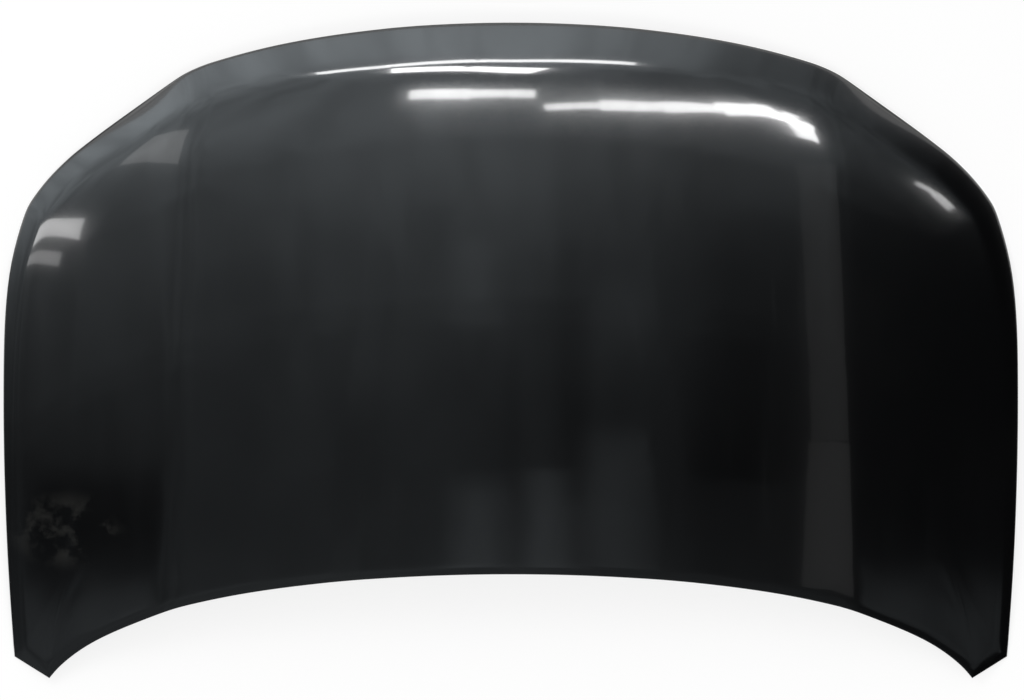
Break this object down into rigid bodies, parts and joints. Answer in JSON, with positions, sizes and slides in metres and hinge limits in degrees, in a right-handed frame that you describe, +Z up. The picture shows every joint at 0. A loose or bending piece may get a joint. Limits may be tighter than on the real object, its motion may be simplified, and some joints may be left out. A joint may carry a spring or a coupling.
{
  "type": "car bonnet",
  "caption": "Crowned car bonnet in black primer: hemmed outer skin over a ribbed inner frame with hinge pads and a striker loop.",
  "frame": {"origin": "on the floor it lies on, under the middle of its outline", "axes": "+X across the car, +Y to the nose, +Z up out of the outer skin"},
  "size_m": [1.4998, 0.9688, 0.1348],
  "materials": {
    "black_primer": "gloss",
    "zinc_plate": "satin",
    "mastic": "matte"
  },
  "bodies": {
    "root": {"outer_skin": "black_primer", "inner_frame": "black_primer", "hinge_reinforcement_left": "black_primer", "hinge_reinforcement_right": "black_primer", "hinge_nut_left_front": "black_primer", "hinge_nut_left_rear": "black_primer", "hinge_nut_right_front": "black_primer", "hinge_nut_right_rear": "black_primer", "latch_reinforcement": "black_primer", "striker_nut_left": "black_primer", "striker_nut_right": "black_primer", "striker_plate": "zinc_plate", "striker_loop": "zinc_plate", "striker_bolt_left": "zinc_plate", "striker_bolt_right": "zinc_plate", "mastic_pad_01": "mastic", "mastic_pad_02": "mastic", "mastic_pad_03": "mastic", "mastic_pad_04": "mastic", "mastic_pad_05": "mastic", "mastic_pad_06": "mastic", "mastic_pad_07": "mastic", "mastic_pad_08": "mastic", "mastic_pad_09": "mastic", "mastic_pad_10": "mastic", "mastic_pad_11": "mastic", "mastic_pad_12": "mastic", "mastic_pad_13": "mastic", "mastic_pad_14": "mastic", "mastic_pad_15": "mastic", "mastic_pad_16": "mastic", "mastic_pad_17": "mastic", "mastic_pad_18": "mastic", "mastic_pad_19": "mastic", "mastic_pad_20": "mastic"}
  },
  "joints": []
}
